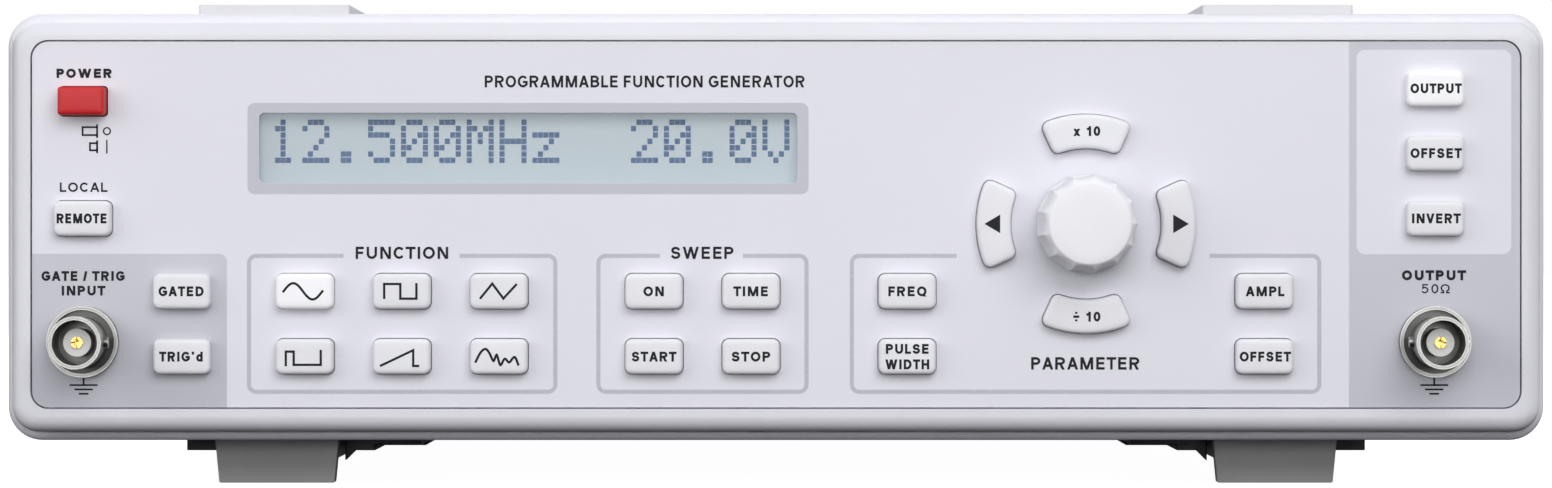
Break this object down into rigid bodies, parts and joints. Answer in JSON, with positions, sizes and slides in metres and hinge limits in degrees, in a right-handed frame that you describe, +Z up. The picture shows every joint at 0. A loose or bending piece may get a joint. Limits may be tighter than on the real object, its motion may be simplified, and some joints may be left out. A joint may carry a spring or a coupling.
{
  "type": "function generator",
  "caption": "Half-rack bench function generator with a printed keypad panel, display window, rotary knob, bayonet sockets, tilt legs and a sheet-steel case.",
  "frame": {"origin": "middle of the bounding box, on the bench under the feet", "axes": "+X to the right seen from the front, the front faces -Y, +Z up"},
  "size_m": [0.285, 0.3882, 0.0907],
  "materials": {
    "frame_paint": "fine-texture light grey powder coat",
    "panel_paint": "satin light grey with printed fields",
    "sleeve_paint": "fine-texture light grey powder coat",
    "rear_panel_paint": "satin grey paint",
    "window_clear": "clear acrylic",
    "lcd_face": "grey-green display face",
    "lcd_frame": "black blackened steel",
    "circuit_board": "green solder resist",
    "black_plastic": "moulded black plastic",
    "encoder_case": "stamped steel",
    "turned_steel": "turned steel",
    "knob_plastic": "satin white plastic",
    "key_plastic": "satin white plastic",
    "red_plastic": "red moulded plastic",
    "natural_nylon": "natural nylon",
    "nickel_plate": "satin nickel plate",
    "insulator_white": "white insulating plastic",
    "gold_contact": "gold plate",
    "rail_aluminium": "mill finish",
    "component_black": "moulded component bodies",
    "transformer_steel": "varnished laminations",
    "lead_grey": "insulated leads",
    "plated_steel": "zinc plate",
    "foot_black": "black moulded plastic",
    "leg_grey": "dark grey moulded plastic",
    "pad_grey": "light grey moulded plastic"
  },
  "bodies": {
    "body": {"front_frame": "frame_paint", "front_panel": "panel_paint", "display_window": "window_clear", "lcd_module": "lcd_frame", "lcd_glass": "lcd_face", "keypad_board": "circuit_board", "key_switches": "black_plastic", "encoder_body": "encoder_case", "mains_switch": "black_plastic", "gate_input_socket": "nickel_plate", "output_socket": "nickel_plate", "rear_sockets": "nickel_plate", "socket_insulators": "insulator_white", "socket_contacts": "gold_contact", "case_sleeve": "sleeve_paint", "side_rails": "rail_aluminium", "rear_frame": "frame_paint", "rear_panel": "rear_panel_paint", "main_board": "circuit_board", "board_components": "component_black", "transformer": "transformer_steel", "heat_sink": "rail_aluminium", "wiring": "lead_grey", "mains_inlet": "black_plastic", "interface_module": "plated_steel", "foot_bases": "foot_black", "rear_feet": "foot_black", "stacking_pads": "pad_grey", "fasteners": "plated_steel"},
    "key_local": {"key_local": "key_plastic"},
    "key_gated": {"key_gated": "key_plastic"},
    "key_trig": {"key_trig": "key_plastic"},
    "key_sine": {"key_sine": "key_plastic"},
    "key_square": {"key_square": "key_plastic"},
    "key_triangle": {"key_triangle": "key_plastic"},
    "key_pulse": {"key_pulse": "key_plastic"},
    "key_sawtooth": {"key_sawtooth": "key_plastic"},
    "key_arbitrary": {"key_arbitrary": "key_plastic"},
    "key_sweep_on": {"key_sweep_on": "key_plastic"},
    "key_sweep_time": {"key_sweep_time": "key_plastic"},
    "key_sweep_start": {"key_sweep_start": "key_plastic"},
    "key_sweep_stop": {"key_sweep_stop": "key_plastic"},
    "key_freq": {"key_freq": "key_plastic"},
    "key_pulse_width": {"key_pulse_width": "key_plastic"},
    "key_amplitude": {"key_amplitude": "key_plastic"},
    "key_param_offset": {"key_param_offset": "key_plastic"},
    "key_times_ten": {"key_times_ten": "key_plastic"},
    "key_divide_ten": {"key_divide_ten": "key_plastic"},
    "key_cursor_left": {"key_cursor_left": "key_plastic"},
    "key_cursor_right": {"key_cursor_right": "key_plastic"},
    "key_output": {"key_output": "key_plastic"},
    "key_dc_offset": {"key_dc_offset": "key_plastic"},
    "key_invert": {"key_invert": "key_plastic"},
    "knob": {"parameter_knob": "knob_plastic", "encoder_shaft": "turned_steel"},
    "power": {"power_button": "red_plastic", "power_push_rod": "natural_nylon"},
    "fuse_drawer": {"fuse_drawer": "black_plastic"},
    "left_leg": {"left_tilt_leg": "leg_grey"},
    "right_leg": {"right_tilt_leg": "leg_grey"}
  },
  "joints": [
    {"name": "key_local_press", "type": "slide", "parent": "body", "child": "key_local", "axis": [0, 1, 0], "range_m": [0, 0.0008], "stiffness_N_per_m": 800, "springref_m": -0.001},
    {"name": "key_gated_press", "type": "slide", "parent": "body", "child": "key_gated", "axis": [0, 1, 0], "range_m": [0, 0.0008], "stiffness_N_per_m": 800, "springref_m": -0.001},
    {"name": "key_trig_press", "type": "slide", "parent": "body", "child": "key_trig", "axis": [0, 1, 0], "range_m": [0, 0.0008], "stiffness_N_per_m": 800, "springref_m": -0.001},
    {"name": "key_sine_press", "type": "slide", "parent": "body", "child": "key_sine", "axis": [0, 1, 0], "range_m": [0, 0.0008], "stiffness_N_per_m": 800, "springref_m": -0.001},
    {"name": "key_square_press", "type": "slide", "parent": "body", "child": "key_square", "axis": [0, 1, 0], "range_m": [0, 0.0008], "stiffness_N_per_m": 800, "springref_m": -0.001},
    {"name": "key_triangle_press", "type": "slide", "parent": "body", "child": "key_triangle", "axis": [0, 1, 0], "range_m": [0, 0.0008], "stiffness_N_per_m": 800, "springref_m": -0.001},
    {"name": "key_pulse_press", "type": "slide", "parent": "body", "child": "key_pulse", "axis": [0, 1, 0], "range_m": [0, 0.0008], "stiffness_N_per_m": 800, "springref_m": -0.001},
    {"name": "key_sawtooth_press", "type": "slide", "parent": "body", "child": "key_sawtooth", "axis": [0, 1, 0], "range_m": [0, 0.0008], "stiffness_N_per_m": 800, "springref_m": -0.001},
    {"name": "key_arbitrary_press", "type": "slide", "parent": "body", "child": "key_arbitrary", "axis": [0, 1, 0], "range_m": [0, 0.0008], "stiffness_N_per_m": 800, "springref_m": -0.001},
    {"name": "key_sweep_on_press", "type": "slide", "parent": "body", "child": "key_sweep_on", "axis": [0, 1, 0], "range_m": [0, 0.0008], "stiffness_N_per_m": 800, "springref_m": -0.001},
    {"name": "key_sweep_time_press", "type": "slide", "parent": "body", "child": "key_sweep_time", "axis": [0, 1, 0], "range_m": [0, 0.0008], "stiffness_N_per_m": 800, "springref_m": -0.001},
    {"name": "key_sweep_start_press", "type": "slide", "parent": "body", "child": "key_sweep_start", "axis": [0, 1, 0], "range_m": [0, 0.0008], "stiffness_N_per_m": 800, "springref_m": -0.001},
    {"name": "key_sweep_stop_press", "type": "slide", "parent": "body", "child": "key_sweep_stop", "axis": [0, 1, 0], "range_m": [0, 0.0008], "stiffness_N_per_m": 800, "springref_m": -0.001},
    {"name": "key_freq_press", "type": "slide", "parent": "body", "child": "key_freq", "axis": [0, 1, 0], "range_m": [0, 0.0008], "stiffness_N_per_m": 800, "springref_m": -0.001},
    {"name": "key_pulse_width_press", "type": "slide", "parent": "body", "child": "key_pulse_width", "axis": [0, 1, 0], "range_m": [0, 0.0008], "stiffness_N_per_m": 800, "springref_m": -0.001},
    {"name": "key_amplitude_press", "type": "slide", "parent": "body", "child": "key_amplitude", "axis": [0, 1, 0], "range_m": [0, 0.0008], "stiffness_N_per_m": 800, "springref_m": -0.001},
    {"name": "key_param_offset_press", "type": "slide", "parent": "body", "child": "key_param_offset", "axis": [0, 1, 0], "range_m": [0, 0.0008], "stiffness_N_per_m": 800, "springref_m": -0.001},
    {"name": "key_times_ten_press", "type": "slide", "parent": "body", "child": "key_times_ten", "axis": [0, 1, 0], "range_m": [0, 0.0008], "stiffness_N_per_m": 800, "springref_m": -0.001},
    {"name": "key_divide_ten_press", "type": "slide", "parent": "body", "child": "key_divide_ten", "axis": [0, 1, 0], "range_m": [0, 0.0008], "stiffness_N_per_m": 800, "springref_m": -0.001},
    {"name": "key_cursor_left_press", "type": "slide", "parent": "body", "child": "key_cursor_left", "axis": [0, 1, 0], "range_m": [0, 0.0008], "stiffness_N_per_m": 800, "springref_m": -0.001},
    {"name": "key_cursor_right_press", "type": "slide", "parent": "body", "child": "key_cursor_right", "axis": [0, 1, 0], "range_m": [0, 0.0008], "stiffness_N_per_m": 800, "springref_m": -0.001},
    {"name": "key_output_press", "type": "slide", "parent": "body", "child": "key_output", "axis": [0, 1, 0], "range_m": [0, 0.0008], "stiffness_N_per_m": 800, "springref_m": -0.001},
    {"name": "key_dc_offset_press", "type": "slide", "parent": "body", "child": "key_dc_offset", "axis": [0, 1, 0], "range_m": [0, 0.0008], "stiffness_N_per_m": 800, "springref_m": -0.001},
    {"name": "key_invert_press", "type": "slide", "parent": "body", "child": "key_invert", "axis": [0, 1, 0], "range_m": [0, 0.0008], "stiffness_N_per_m": 800, "springref_m": -0.001},
    {"name": "knob_turn", "type": "hinge", "parent": "body", "child": "knob", "pos_m": [0.0571, -0.18088, 0.0491], "axis": [0, -1, 0], "continuous": true},
    {"name": "power_press", "type": "slide", "parent": "body", "child": "power", "axis": [0, 1, 0], "range_m": [0, 0.0035], "stiffness_N_per_m": 600, "springref_m": -0.002},
    {"name": "fuse_drawer_slide", "type": "slide", "parent": "body", "child": "fuse_drawer", "axis": [0, 1, 0], "range_m": [0, 0.018]},
    {"name": "left_leg_tilt", "type": "hinge", "parent": "body", "child": "left_leg", "pos_m": [-0.0945, -0.11688, 0.0078], "axis": [1, 0, 0], "range_deg": [0, 90]},
    {"name": "right_leg_tilt", "type": "hinge", "parent": "body", "child": "right_leg", "pos_m": [0.0945, -0.11688, 0.0078], "axis": [1, 0, 0], "range_deg": [0, 90]}
  ]
}
